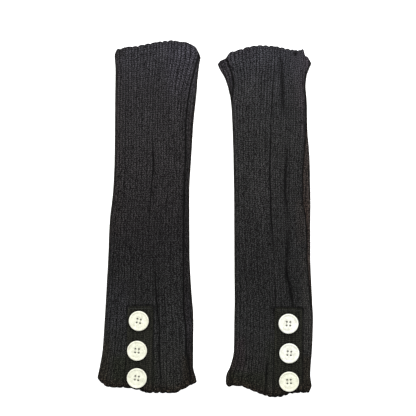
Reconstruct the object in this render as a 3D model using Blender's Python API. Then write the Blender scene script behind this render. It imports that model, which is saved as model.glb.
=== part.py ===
"""A pair of ribbed-knit leg warmers laid flat side by side, each with a button tab at its hem.

All sizes below are in millimetres. X runs across the pair, Y along the legs towards the top rims, and Z up
from the surface that the pair lies on. The origin is the bottom centre of the whole pair.
"""
import math

import bmesh
import bpy
import numpy as np
from mathutils import Matrix

MM = 0.001

# Knitted wall
WALL = 1.8
RIB_RISE = 0.9
RIBS = 28
LAID_HEIGHT = 5.8
SIDE_RADIUS = 2.3
SIDE_SLOPE = 9.0
SIDE_DROP = 0.7
EDGE_ROUNDING = 0.35
RIM_SCALLOP = 0.7
BACK_SETBACK = 1.2
GAP = 0.3
MERGE = 0.01
SHARP_ANGLE = 40.0

# Side folds, where the back layer shows outside the front one
LEDGE_DROP = 1.2
LEDGE_WIDTH = 2.4

# Mesh of a leg, with the place and the rise of each column of points on a rib
ROWS = 20
ROW_CROWDING = 0.6
RIB_COLUMNS = ((0.0, 0.0), (0.3, 1.0), (0.7, 1.0))
BACK_COLUMNS = 8
TURN_COLUMN = 0.35

# Button tab
TAB_THICKNESS = 1.5
TAB_RIBS = 8
TAB_RIB_RISE = 0.4
TAB_CORNER = 5.0
TAB_ROWS = 9
TAB_HEM_INSET = 1.0

# Buttons
BUTTON_RADIUS = 12.6
BUTTON_SEGMENTS = 24
HOLE_RADIUS = 1.0
HOLE_OFFSET = 2.15
HOLE_SEGMENTS = 8
# Button section from its axis outwards and up: radius, height
BUTTON_PROFILE = (
    (0.0, 0.0),
    (11.9, 0.0),
    (12.6, 0.7),
    (12.6, 2.1),
    (12.0, 2.9),
    (11.1, 3.1),
    (9.9, 2.5),
    (0.0, 2.3),
)

LEFT_LEG = {
    # y, left side, middle rib, right side
    "sections": (
        (-203.4, -132.0, -67.4, -10.3),
        (-194.8, -131.1, -68.6, -11.7),
        (-180.2, -128.2, -69.8, -15.3),
        (-160.7, -124.9, -69.2, -15.2),
        (-121.6, -122.1, -68.5, -14.9),
        (-82.6, -119.9, -68.9, -17.8),
        (-43.6, -117.7, -68.6, -19.6),
        (-4.5, -116.1, -68.0, -19.8),
        (34.5, -111.9, -65.8, -19.7),
        (73.6, -110.1, -63.9, -17.6),
        (112.6, -109.7, -62.4, -15.1),
        (151.6, -109.4, -60.3, -11.2),
        (180.9, -109.0, -58.9, -8.6),
        (197.4, -110.1, -58.0, -5.8),
    ),
    # share of the width from the left side, y
    "top_rim": (
        (0.0, 199.5),
        (0.013, 204.5),
        (0.03, 206.9),
        (0.075, 207.3),
        (0.123, 209.3),
        (0.19, 209.6),
        (0.40, 213.5),
        (0.59, 216.6),
        (0.677, 217.3),
        (0.743, 216.0),
        (0.851, 214.6),
        (0.934, 210.0),
        (0.974, 204.9),
        (1.0, 196.5),
    ),
    # share of the width from the left side, y
    "hem": (
        (0.0, -194.3),
        (0.043, -200.4),
        (0.12, -205.1),
        (0.298, -206.1),
        (0.391, -208.1),
        (0.469, -210.7),
        (0.51, -212.2),
        (0.775, -212.3),
        (0.856, -208.2),
        (0.934, -203.4),
        (1.0, -199.6),
    ),
    # depth, half width, then y and x of the fold's start, middle and end
    "folds": (
        (0.6, 1.8, 138.0, -58.6, 35.0, -65.0, -75.0, -71.6),
        (0.5, 1.6, 86.0, -62.6, 66.0, -62.6, 46.0, -62.8),
        (1.0, 1.8, -66.0, -59.5, -125.0, -57.2, -213.0, -52.4),
        (0.6, 1.5, -130.0, -29.2, -162.0, -29.4, -196.0, -29.0),
    ),
    # outward side of the ledge, then its y and x
    "ledges": (
        (1.0, (
            (-200.0, -19.0),
            (-171.7, -24.2),
            (-133.8, -23.4),
            (-113.1, -26.2),
            (-28.9, -27.0),
            (22.3, -25.3),
            (67.5, -24.8),
            (113.8, -24.0),
            (151.6, -20.2),
            (180.9, -12.4),
            (198.0, -7.6),
        )),
    ),
    "tab": {"top_y": -107.0, "top_x": -79.0, "hem_x": -81.2, "width": 31.8, "tilt": 0.03},
    # name, x, y, turn of the four holes in degrees
    "buttons": (
        ("top", -80.5, -125.2, -12.0),
        ("middle", -82.5, -161.5, -5.0),
        ("bottom", -83.1, -195.0, -10.0),
    ),
}

RIGHT_LEG = {
    # y, left side, middle rib, right side
    "sections": (
        (-203.4, 24.5, 80.8, 129.4),
        (-190.0, 26.4, 80.8, 127.7),
        (-180.2, 31.0, 82.0, 128.2),
        (-160.7, 35.3, 83.0, 129.8),
        (-121.6, 35.9, 83.5, 131.1),
        (-102.1, 36.3, 83.3, 130.1),
        (-43.6, 35.9, 81.8, 127.6),
        (15.0, 35.7, 81.8, 127.8),
        (73.6, 34.8, 80.8, 126.7),
        (112.6, 33.6, 78.8, 123.9),
        (141.9, 31.9, 77.7, 123.4),
        (161.4, 27.8, 75.3, 121.9),
        (171.2, 24.5, 74.1, 122.7),
        (180.9, 18.7, 72.9, 125.5),
        (188.2, 15.3, 72.0, 128.8),
    ),
    # share of the width from the left side, y
    "top_rim": (
        (0.0, 188.4),
        (0.03, 192.0),
        (0.09, 194.6),
        (0.115, 198.4),
        (0.145, 202.6),
        (0.218, 205.3),
        (0.272, 207.1),
        (0.321, 209.2),
        (0.457, 211.2),
        (0.618, 210.0),
        (0.742, 207.1),
        (0.87, 205.0),
        (0.918, 206.3),
        (0.94, 198.6),
        (0.966, 197.3),
        (0.985, 194.0),
        (1.0, 190.0),
    ),
    # share of the width from the left side, y
    "hem": (
        (0.0, -194.8),
        (0.008, -201.5),
        (0.035, -204.4),
        (0.1, -203.5),
        (0.17, -203.9),
        (0.29, -208.6),
        (0.456, -215.1),
        (0.54, -217.3),
        (0.612, -217.3),
        (0.675, -216.3),
        (0.765, -213.0),
        (0.865, -212.0),
        (0.97, -211.8),
        (1.0, -204.6),
    ),
    # depth, half width, then y and x of the fold's start, middle and end
    "folds": (
        (1.0, 1.8, 165.0, 82.9, 60.0, 79.2, -16.0, 81.7),
        (0.5, 4.0, 186.0, 92.3, 160.0, 94.5, 128.0, 97.0),
        (0.7, 3.5, 124.0, 98.5, 22.0, 99.7, -102.0, 104.0),
        (0.4, 1.6, -22.0, 75.4, -34.0, 75.4, -46.0, 75.4),
        (0.6, 1.6, -72.0, 86.3, -88.0, 86.3, -104.0, 86.2),
        (0.9, 1.8, -126.0, 78.2, -170.0, 76.6, -218.0, 76.0),
    ),
    # outward side of the ledge, then its y and x
    "ledges": (
        (-1.0, (
            (130.0, 31.0),
            (150.0, 33.0),
            (165.0, 34.5),
            (174.8, 32.9),
            (194.3, 26.3),
        )),
        (1.0, (
            (-95.0, 130.5),
            (-87.5, 127.2),
            (-33.8, 123.5),
            (22.3, 121.2),
            (52.8, 119.1),
            (78.4, 120.7),
            (98.0, 122.7),
            (167.5, 121.7),
            (198.0, 122.3),
        )),
    ),
    "tab": {"top_y": -108.8, "top_x": 101.2, "hem_x": 101.2, "width": 34.2, "tilt": -0.02},
    # name, x, y, turn of the four holes in degrees
    "buttons": (
        ("top", 102.2, -128.5, -2.0),
        ("middle", 103.1, -164.5, -6.0),
        ("bottom", 102.8, -199.0, 3.0),
    ),
}


def smoothstep(low, high, value):
    share = min(max((value - low) / (high - low), 0.0), 1.0)
    return share * share * (3.0 - 2.0 * share)


def along(table, column, at):
    """Reads a column of a table at a place between its rows, on a curve that never swings past the rows."""
    rows = np.array(table, dtype=float)
    place = rows[:, 0]
    value = rows[:, column]
    at = min(max(at, place[0]), place[-1])
    step = np.diff(place)
    slope = np.diff(value) / step
    tangent = np.zeros(len(place))
    tangent[0] = slope[0]
    tangent[-1] = slope[-1]
    for row in range(1, len(place) - 1):
        if slope[row - 1] * slope[row] > 0.0:
            tangent[row] = 2.0 * slope[row - 1] * slope[row] / (slope[row - 1] + slope[row])
    row = min(int(np.searchsorted(place, at, side="right")) - 1, len(step) - 1)
    share = (at - place[row]) / step[row]
    start = value[row] * (1.0 + 2.0 * share) * (1.0 - share) ** 2
    end = value[row + 1] * (3.0 - 2.0 * share) * share ** 2
    bend = tangent[row] * (1.0 - share) - tangent[row + 1] * share
    return start + end + bend * step[row] * share * (1.0 - share)


def width_share(leg, rib_place, y):
    """Turns a place across the ribs, 0 to 1, into a share of the width, as the ribs crowd to one side."""
    left = along(leg["sections"], 1, y)
    middle = along(leg["sections"], 2, y)
    right = along(leg["sections"], 3, y)
    shift = (middle - (left + right) / 2.0) / (right - left)
    return rib_place + 4.0 * shift * rib_place * (1.0 - rib_place)


def fold_depth(fold, x, y):
    """Depth of one soft fold at a place on the front."""
    depth, half_width, start_y, start_x, middle_y, middle_x, end_y, end_x = fold
    share = (y - start_y) / (end_y - start_y)
    if share <= 0.0 or share >= 1.0:
        return 0.0
    to_middle = (y - start_y) * (y - end_y) / ((middle_y - start_y) * (middle_y - end_y))
    to_start = (y - middle_y) * (y - end_y) / ((start_y - middle_y) * (start_y - end_y))
    to_end = (y - start_y) * (y - middle_y) / ((end_y - start_y) * (end_y - middle_y))
    line_x = to_start * start_x + to_middle * middle_x + to_end * end_x
    taper = math.sin(math.pi * share) ** 0.5
    return depth * taper * math.exp(-((x - line_x) / half_width) ** 2)


def front_height(leg, x, y):
    """Height of the front layer between its ribs, above the surface that the leg lies on."""
    left = along(leg["sections"], 1, y)
    right = along(leg["sections"], 3, y)
    from_side = min(x - left, right - x)
    height = LAID_HEIGHT - SIDE_DROP * (1.0 - smoothstep(0.0, SIDE_SLOPE, from_side))
    for fold in leg["folds"]:
        height -= fold_depth(fold, x, y)
    for outward, line in leg["ledges"]:
        past_line = (x - along(line, 1, y)) * outward
        height -= LEDGE_DROP * smoothstep(-LEDGE_WIDTH / 2.0, LEDGE_WIDTH / 2.0, past_line)
    return max(height, 2.0 * WALL + GAP)


def side_share(distance, radius):
    """Share of full height at a distance in from a rounded side."""
    inward = min(max(distance, 0.0), radius)
    return math.sqrt(max(radius ** 2 - (radius - inward) ** 2, 0.0)) / radius


def wall_point(leg, rib_place, length_place, rise, layer, inset):
    """A point of the tube's outer skin, or of its inner one when inset is the wall's thickness."""
    hem_y = along(leg["hem"], 1, width_share(leg, rib_place, leg["hem"][0][1]))
    top_y = along(leg["top_rim"], 1, width_share(leg, rib_place, leg["top_rim"][0][1]))
    if layer == "back":
        setback = BACK_SETBACK * math.sin(math.pi * rib_place)
        hem_y += setback
        top_y -= setback
    y = hem_y + (top_y - hem_y) * length_place
    left = along(leg["sections"], 1, y)
    right = along(leg["sections"], 3, y)
    share = width_share(leg, rib_place, y)
    x = left + inset + (right - left - 2.0 * inset) * share
    radius = SIDE_RADIUS - inset
    fullness = side_share(min(x - left, right - x) - inset, radius)
    at_edge = length_place in (0.0, 1.0)
    if layer == "back":
        z = SIDE_RADIUS - (SIDE_RADIUS - inset) * fullness
        return x * MM, y * MM, z * MM
    top = front_height(leg, x, y) - inset
    if inset == 0.0:
        top += RIB_RISE * rise - (EDGE_ROUNDING if at_edge else 0.0)
    if at_edge:
        y -= math.copysign(RIM_SCALLOP * (1.0 - rise) * fullness, length_place - 0.5)
    z = SIDE_RADIUS + (top - SIDE_RADIUS) * fullness
    return x * MM, y * MM, z * MM


def row_places():
    """Places along the leg, 0 at the hem and 1 at the top rim, closer together near both ends."""
    steps = [row / (ROWS - 1) for row in range(ROWS)]
    return [step - ROW_CROWDING * math.sin(2.0 * math.pi * step) / (2.0 * math.pi) for step in steps]


def ribbed_columns(ribs):
    """Places across a ribbed cloth, each with its rise, from the left side to the right one."""
    columns = [((rib + offset) / ribs, rise) for rib in range(ribs) for offset, rise in RIB_COLUMNS]
    return [*columns, (1.0, 0.0)]


def back_columns(width, radius):
    """Places across the flat back, from the right side to the left one, with its two rounded edges."""
    flat_from = radius / width
    flat = np.linspace(flat_from, 1.0 - flat_from, BACK_COLUMNS)
    places = [TURN_COLUMN * flat_from, *flat, 1.0 - TURN_COLUMN * flat_from]
    return [(place, 0.0) for place in reversed(places)]


def leg_skin(mesh, leg, inset):
    """Rings of points round the tube, one for each row, and the faces between them."""
    fronts = ribbed_columns(RIBS)
    if inset:
        fronts = [(place, 0.0) for place, rise in fronts[::2]]
    middle = leg["sections"][len(leg["sections"]) // 2]
    backs = back_columns(middle[3] - middle[1], SIDE_RADIUS)
    rings = []
    for length_place in row_places():
        ring = [wall_point(leg, place, length_place, rise, "front", inset) for place, rise in fronts]
        ring += [wall_point(leg, place, length_place, rise, "back", inset) for place, rise in backs]
        rings.append([mesh.verts.new(point) for point in ring])
    for lower, upper in zip(rings, rings[1:]):
        for here in range(len(lower)):
            after = (here + 1) % len(lower)
            mesh.faces.new((lower[here], upper[here], upper[after], lower[after]))
    return rings


def close_edge(mesh, outer, inner):
    """Joins the outer and the inner skin round one open end. Two outer columns meet one inner column."""
    front_spans = len(ribbed_columns(RIBS)) // 2
    for here in range(len(inner)):
        after = (here + 1) % len(inner)
        if here < front_spans:
            edge = outer[2 * here:2 * here + 3]
        else:
            edge = [outer[here + front_spans], outer[after + front_spans if after else 0]]
        mesh.faces.new((*edge, inner[after], inner[here]))


def solid(name, mesh, material):
    """Makes an object of a finished mesh, with its faces pointing out."""
    bmesh.ops.recalc_face_normals(mesh, faces=mesh.faces)
    data = bpy.data.meshes.new(name)
    mesh.to_mesh(data)
    mesh.free()
    data.materials.append(material)
    data.shade_smooth()
    data.set_sharp_from_angle(angle=math.radians(SHARP_ANGLE))
    thing = bpy.data.objects.new(name, data)
    bpy.context.scene.collection.objects.link(thing)
    return thing


def knitted_leg(name, leg, material):
    mesh = bmesh.new()
    outer = leg_skin(mesh, leg, 0.0)
    inner = leg_skin(mesh, leg, WALL)
    close_edge(mesh, outer[0], inner[0])
    close_edge(mesh, outer[-1], inner[-1])
    return solid(f"{name}_leg", mesh, material)


def tab_underside(leg, x, y):
    """Height of the tab's lower face, just clear of the ribs that it lies on."""
    return front_height(leg, x, y) + RIB_RISE + GAP


def tab_place(leg, across, up):
    """A point of the tab in plan. Its top corners are rounded and its lower edge follows the hem."""
    tab = leg["tab"]
    hem_x = tab["hem_x"] + (across - 0.5) * tab["width"]
    top_x = tab["top_x"] + (across - 0.5) * tab["width"]
    left, right = leg["sections"][0][1], leg["sections"][0][3]
    hem_y = along(leg["hem"], 1, (hem_x - left) / (right - left)) + TAB_HEM_INSET
    from_corner = min(across, 1.0 - across) * tab["width"]
    rounding = TAB_CORNER * (1.0 - side_share(from_corner, TAB_CORNER))
    top_y = tab["top_y"] + (across - 0.5) * tab["width"] * tab["tilt"] - rounding
    return hem_x + (top_x - hem_x) * up, hem_y + (top_y - hem_y) * up


def button_tab(name, leg, material):
    """A ribbed strip of cloth, its underside made from the points of the leg's front, moved out."""
    columns = ribbed_columns(TAB_RIBS)
    spans = len(columns) - 1
    mesh = bmesh.new()
    bmesh.ops.create_grid(mesh, x_segments=spans, y_segments=TAB_ROWS, size=0.5)
    top = bmesh.ops.extrude_face_region(mesh, geom=mesh.faces[:])
    lifted = [part for part in top["geom"] if isinstance(part, bmesh.types.BMVert)]
    bmesh.ops.translate(mesh, verts=lifted, vec=(0.0, 0.0, 1.0))
    for point in mesh.verts:
        across, rise = columns[round((point.co.x + 0.5) * spans)]
        x, y = tab_place(leg, across, point.co.y + 0.5)
        z = tab_underside(leg, x, y) + point.co.z * (TAB_THICKNESS + TAB_RIB_RISE * rise)
        point.co = (x * MM, y * MM, z * MM)
    return solid(f"{name}_tab", mesh, material)


def tab_top_under(leg, x, y):
    """Highest point of the tab under a button."""
    around = np.linspace(0.0, 2.0 * math.pi, BUTTON_SEGMENTS, endpoint=False)
    radii = (0.0, BUTTON_RADIUS / 2.0, BUTTON_RADIUS)
    heights = [
        tab_underside(leg, x + radius * math.cos(angle), y + radius * math.sin(angle))
        for radius in radii
        for angle in around
    ]
    return max(heights) + TAB_THICKNESS + TAB_RIB_RISE


def hole_cutter(name):
    """Four round pins that cut a button's holes."""
    mesh = bmesh.new()
    height = 4.0 * max(height for radius, height in BUTTON_PROFILE)
    for across in (-HOLE_OFFSET, HOLE_OFFSET):
        for along_y in (-HOLE_OFFSET, HOLE_OFFSET):
            bmesh.ops.create_cone(
                mesh,
                cap_ends=True,
                segments=HOLE_SEGMENTS,
                radius1=HOLE_RADIUS * MM,
                radius2=HOLE_RADIUS * MM,
                depth=height * MM,
                matrix=Matrix.Translation((across * MM, along_y * MM, 0.0)),
            )
    data = bpy.data.meshes.new(name)
    mesh.to_mesh(data)
    mesh.free()
    cutter = bpy.data.objects.new(name, data)
    cutter.hide_render = True
    cutter.display_type = "WIRE"
    bpy.context.scene.collection.objects.link(cutter)
    return cutter


def button_blank():
    """A turned disc with a raised rim round a dished face."""
    mesh = bmesh.new()
    points = [mesh.verts.new((radius * MM, 0.0, height * MM)) for radius, height in BUTTON_PROFILE]
    edges = [mesh.edges.new(pair) for pair in zip(points, points[1:])]
    bmesh.ops.spin(
        mesh,
        geom=points + edges,
        cent=(0.0, 0.0, 0.0),
        axis=(0.0, 0.0, 1.0),
        angle=2.0 * math.pi,
        steps=BUTTON_SEGMENTS,
        use_merge=True,
    )
    bmesh.ops.remove_doubles(mesh, verts=mesh.verts, dist=MERGE * MM)
    return mesh


def sewn_button(name, leg, x, y, turn, material):
    button = solid(name, button_blank(), material)
    cutter = hole_cutter(f"{name}_holes")
    cutter.parent = button
    holes = button.modifiers.new("Holes", "BOOLEAN")
    holes.operation = "DIFFERENCE"
    holes.solver = "EXACT"
    holes.object = cutter
    button.location = (x * MM, y * MM, (tab_top_under(leg, x, y) + GAP) * MM)
    button.rotation_euler = (0.0, 0.0, math.radians(turn))
    return button


def plain_material(name, colour, roughness):
    material = bpy.data.materials.new(name)
    material.use_nodes = True
    shader = material.node_tree.nodes["Principled BSDF"]
    shader.inputs["Base Color"].default_value = (*colour, 1.0)
    shader.inputs["Roughness"].default_value = roughness
    shader.inputs["Metallic"].default_value = 0.0
    return material


def main():
    for thing in list(bpy.data.objects):
        bpy.data.objects.remove(thing, do_unlink=True)
    for name, leg in (("left", LEFT_LEG), ("right", RIGHT_LEG)):
        knit = plain_material(f"{name}_rib_knit", (0.026, 0.025, 0.027), 0.95)
        tab_knit = plain_material(f"{name}_tab_knit", (0.017, 0.018, 0.015), 0.95)
        knitted_leg(name, leg, knit)
        button_tab(name, leg, tab_knit)
        for place, x, y, turn in leg["buttons"]:
            cream = plain_material(f"{name}_{place}_cream", (0.86, 0.87, 0.76), 0.4)
            sewn_button(f"{name}_button_{place}", leg, x, y, turn, cream)


main()
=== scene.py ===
"""The looks of a pair of ribbed-knit leg warmers with button tabs, laid flat on a pale floor.

Sizes in the tables are in millimetres in the part's frame. X runs across the pair, Y along the legs towards
the top rims, and Z up from the surface that the pair lies on.
"""
import math

import bmesh
import bpy
import numpy as np
from mathutils import Matrix, Vector


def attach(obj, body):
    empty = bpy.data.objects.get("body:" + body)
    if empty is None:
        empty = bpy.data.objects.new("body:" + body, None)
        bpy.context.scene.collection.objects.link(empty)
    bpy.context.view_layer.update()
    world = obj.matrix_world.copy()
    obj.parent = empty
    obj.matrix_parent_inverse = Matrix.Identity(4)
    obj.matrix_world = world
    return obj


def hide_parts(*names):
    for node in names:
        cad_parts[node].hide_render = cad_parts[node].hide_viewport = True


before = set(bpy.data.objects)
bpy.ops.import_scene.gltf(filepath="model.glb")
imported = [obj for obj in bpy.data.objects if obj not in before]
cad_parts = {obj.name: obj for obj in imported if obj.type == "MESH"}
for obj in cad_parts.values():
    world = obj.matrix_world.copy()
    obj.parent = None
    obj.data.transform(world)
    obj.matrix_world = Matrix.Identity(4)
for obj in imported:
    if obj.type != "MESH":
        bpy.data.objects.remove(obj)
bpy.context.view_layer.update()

MM = 0.001
MERGE = 0.002

# Knitted wall, as in the part's source
WALL = 1.8
RIB_RISE = 0.9
LAID_HEIGHT = 5.8
SIDE_RADIUS = 2.3
QUARTER_TURN = math.pi * SIDE_RADIUS / 2.0
SIDE_SLOPE = 9.0
SIDE_DROP = 0.7
BACK_SETBACK = 1.2
GAP = 0.3
LEDGE_DROP = 1.5
LEDGE_WIDTH = 1.5
# Reach of the marks that the knit's material reads, most of them painted shade: along ledge creases, across
# folds, at turned sides and along the hem's edge. The hem's own mark makes its yarn warmer
LEDGE_CREASE = 1.25
FOLD_BLUR = 0.25
SIDE_SHADE = 1.1
HEM_SHADE = 14.0
HEM_LINE = 3.0
# A side's share of painted shade, what it gains near the hem, and where that gain fades
SIDE_MARK = 0.85
LOW_SIDE_GAIN = 0.35
LOW_SIDE = (10.0, 60.0)
# Painted light, where a fold's darkness is below 0, goes no further than this
LIGHTEST_FOLD = -0.5
TINT_FADE = 5.0
# A thing laid on the knit darkens it with painted shade and presses it in, most at this distance from its
# edge, and fades over this reach
CONTACT_LINE = 0.4
CONTACT_REACH = 1.3

# Knit structure: wales are the columns of stitches, courses the rows
WALES = 56
COURSES = 157
PAIR_GROOVE = 1.05
SINGLE_GROOVE = 0.62
BACK_GROOVE = 0.5
GROOVE_SHARPNESS = 3.0
STITCH_GAP = 0.26
STITCH_VALLEY = 0.16
VALLEY_WIDTH = 0.1
# Shares of the stitches' relief underneath, and of all relief that is lost through the wall
UNDER_STITCHES = 0.4
WALL_RELIEF_LOSS = 0.9
CHEVRON = 0.62
# Places of the mesh's columns on one wale, on the shown side and underneath
SHOWN_COLUMNS = (0.0, 0.15, 0.33, 0.5, 0.67, 0.85)
UNDER_COLUMNS = (0.0, 0.5)
SHOWN_WALES = (-4, 31)
# Rows that turn over an open edge: distance in from the edge, share of the wall's thickness
EDGE_TURN = (
    (1.5, 0.0), (0.75, 0.02), (0.28, 0.12), (0.05, 0.3), (0.0, 0.5), (0.05, 0.7), (0.4, 0.92), (3.0, 1.0),
    (7.0, 1.0),
)
LINING_ROWS = 40
LINING_COLUMNS = 112
LINING_START = 0.024
SCALLOP = 1.2
SCALLOP_BLUNTNESS = 0.7
EDGE_FADE = 5.0
# Reach of the painted shade along the top rim and the hem, where the cloth turns over
EDGE_LINE = 3.0
SIDE_PUFF = 0.8
EDGE_PUFF = 0.4
HEM_PUFF = 0.9
CROWN_DROP = 0.12
# Unevenness of the cloth: how much, and over what length
GROOVE_WAVE = (0.18, 60.0)
GROOVE_WAVE_STEP = 7.3
SCALLOP_WAVE = (0.75, 11.0)
SWAY = (0.16, 26.0)
SURFACE_WAVES = ((0.22, 46.0), (0.03, 13.0))
WAVE_CIRCLE = 81.0
WAVES = 7
# Row of the hem table that lies near the middle of a leg's hem
HEM_MIDDLE = 5

# Button tab
TAB_THICKNESS = 1.5
TAB_RIB_RISE = 0.4
TAB_HEIGHT = TAB_THICKNESS + TAB_RIB_RISE
TAB_CORNER = 5.0
TAB_HEM_INSET = 1.0
TAB_WALES = 8
TAB_COURSES = 44
TAB_EDGE = 1.1
TAB_EDGE_COLUMNS = (0.0, 0.04, 0.12)
TAB_GROOVE = 0.42
TAB_GAP = 0.2
TAB_VALLEY = 0.12
TAB_CHEVRON = 1.4
TAB_SINK = 0.35

# Buttons, their holes and their thread, and the seam along the top of the tab
BUTTON_RADIUS = 12.12
BUTTON_STEPS = 80
HOLE_OFFSET = 2.15
HOLE_STEPS = 20
# Button section from its axis outwards and up: radius, height
BUTTON_PROFILE = (
    (0.0, 0.3), (8.0, 0.1), (10.5, 0.0), (11.4, 0.12), (11.9, 0.5), (12.12, 1.1), (12.1, 1.8), (11.84, 2.45),
    (11.48, 2.86), (11.08, 3.06), (10.72, 3.02), (10.42, 2.8), (10.17, 2.52), (9.8, 2.32), (9.3, 2.16),
    (8.7, 2.05), (8.0, 2.08), (7.4, 2.22), (6.9, 2.27), (0.0, 2.22),
)
RIM_INSIDE = 11.0
# Section of a hole's cutter, whose flare rounds the hole's edge
HOLE_PROFILE = ((0.0, -1.0), (1.12, -1.0), (1.12, 1.85), (1.25, 2.12), (1.5, 2.4), (0.0, 2.4))
BUTTON_FACE = 2.24
THREAD_RADIUS = 0.17
THREAD_ARCH = 0.1
THREAD_END = 0.2
THREAD_STEPS = 16
SEAM_THREAD_RADIUS = 0.3
SEAM_STITCH = 3.0
SEAM_HALF_STITCH = 0.42 * SEAM_STITCH
SEAM_INSET = 2.7
SEAM_SINK = 0.1

# Camera, straight above the pair, and the width that the picture covers
VIEW_CENTRE = (3.4, 12.8)
VIEW_WIDTH = 507.5
LENS = 700.0
SENSOR = 36.0
# Floor and lamp: size of each, how far the floor lies below the pair and how it glows, place and power
FLOOR_SIZE = 4.0
FLOOR_DROP = 0.2
FLOOR_GLOW = 0.6
LAMP_SIZE = 1.0
LAMP_PLACE = (0.1, 0.85, 0.95)
LAMP_POWER = 16.0

# Looks of the knit. Its grooves, stitch gaps and valleys take painted shade, as much as their shares. Tones go
# from the hem to the top rim, each with its share of the length and the yarn's colour; they grow lighter
# towards the top rim, partly painted light falling from above. The values in pairs are those of the middle and
# of the top
LEG_KNIT = {
    "Seed": 1.0,
    "Pair groove": (0.8, 0.91),
    "Single groove": (0.56, 0.84),
    "Gap": 0.95,
    "Valley": 0.3,
    "Uneven": (5.6, 3.1),
    "Fuzz": 0.8,
    "tones": (
        (0.02, (0.0244, 0.0246, 0.0218)), (0.18, (0.0265, 0.0269, 0.0268)), (0.3, (0.0186, 0.0187, 0.0186)),
        (0.47, (0.0192, 0.0181, 0.0187)), (0.58, (0.0238, 0.022, 0.0229)), (0.72, (0.0319, 0.0298, 0.031)),
        (0.88, (0.0352, 0.0331, 0.0361)), (0.98, (0.0432, 0.0419, 0.049)),
    ),
    "patch": (0.022, 0.0202, 0.0206),
    "warm": (0.024, 0.0194, 0.015),
    # Colour past a ledge. On this leg it is painted shade, darker than the front, on the lower layer that
    # shows there
    "strip": (0.0152, 0.0139, 0.0143),
}
RIGHT_LEG_KNIT = {
    **LEG_KNIT,
    "Seed": 2.0,
    "tones": (
        (0.02, (0.0243, 0.0238, 0.0216)), (0.18, (0.0251, 0.0254, 0.0254)), (0.3, (0.0202, 0.0205, 0.0204)),
        (0.47, (0.0221, 0.0221, 0.0221)), (0.58, (0.0261, 0.0257, 0.0257)), (0.72, (0.0303, 0.0301, 0.0301)),
        (0.88, (0.0337, 0.0341, 0.0362)), (0.98, (0.0452, 0.0451, 0.0534)),
    ),
    "patch": (0.0226, 0.0214, 0.0214),
    "warm": (0.0212, 0.0172, 0.0132),
    "strip": (0.044, 0.0352, 0.0318),
}
LEFT_TAB_KNIT = {
    **LEG_KNIT,
    "Seed": 3.0,
    "Pair groove": (0.6, 0.6),
    "Uneven": (3.4, 3.4),
    "Single groove": (0.6, 0.6),
    "tones": ((0.0, (0.0212, 0.0212, 0.0166)), (1.0, (0.0228, 0.0244, 0.019))),
    "patch": (0.0204, 0.0218, 0.016),
}
RIGHT_TAB_KNIT = {
    **LEFT_TAB_KNIT,
    "Seed": 4.0,
    "tones": ((0.0, (0.0186, 0.0188, 0.0143)), (1.0, (0.0198, 0.021, 0.016))),
    "patch": (0.017, 0.018, 0.0132),
}
RUST = (0.056, 0.04, 0.027)
# Painted shade: share of the knit's colour that each mark takes away
MARK_LOSSES = (("painted_shade_and_light", 1.6), ("crease", 0.95), ("side", 0.65), ("edge", 0.6), ("painted_hem_shade", 0.85))
DARKEST_MARK = 0.04
# Places in metres of the ends of the tones, and the shares of the length between which the knit changes
TONE_END = 0.2125
TOP_CHANGE = (0.6, 0.85)
HEM_CHANGE = (0.2, 0.36, 0.68, 1.0)
# Stitches are uneven by the ply. Their neighbours beside and above take a share of each change
PLIES = 4.0
BESIDE_SHARE = 0.2
ABOVE_SHARE = 0.03
RIB_CHANGE = 1.7
DARKEST_STITCH = 0.05
LIGHTEST_STITCH = 2.9
# Scales of the knit's fibres, clouds and worn yarn ends, of the two grains of the plastic, and of the thread
FIBRE_SCALE = 1300.0
CLOUD_SCALE = 30.0
WORN_SCALE = 430.0
PLASTIC_SCALES = (700.0, 180.0)
THREAD_SCALE = 1600.0
# Colours of each plastic and its mottle, for the face and the rim of a button, and of thread and the darker
# colour between its fibres. The rim's lighter colour is painted light on the raised rim, and the thread's dark
# is painted shade
PLASTICS = {
    "cream": (((0.747, 0.761, 0.628), (0.51, 0.51, 0.405)), ((0.81, 0.81, 0.7), (0.68, 0.67, 0.555))),
    "pale": (((0.787, 0.8, 0.722), (0.54, 0.54, 0.465)), ((0.81, 0.828, 0.755), (0.68, 0.69, 0.6))),
}
CREAM_THREAD = ((0.58, 0.57, 0.5), (0.38, 0.37, 0.31))
BLACK_THREAD = ((0.017, 0.0175, 0.014), (0.008, 0.008, 0.007))
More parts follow.
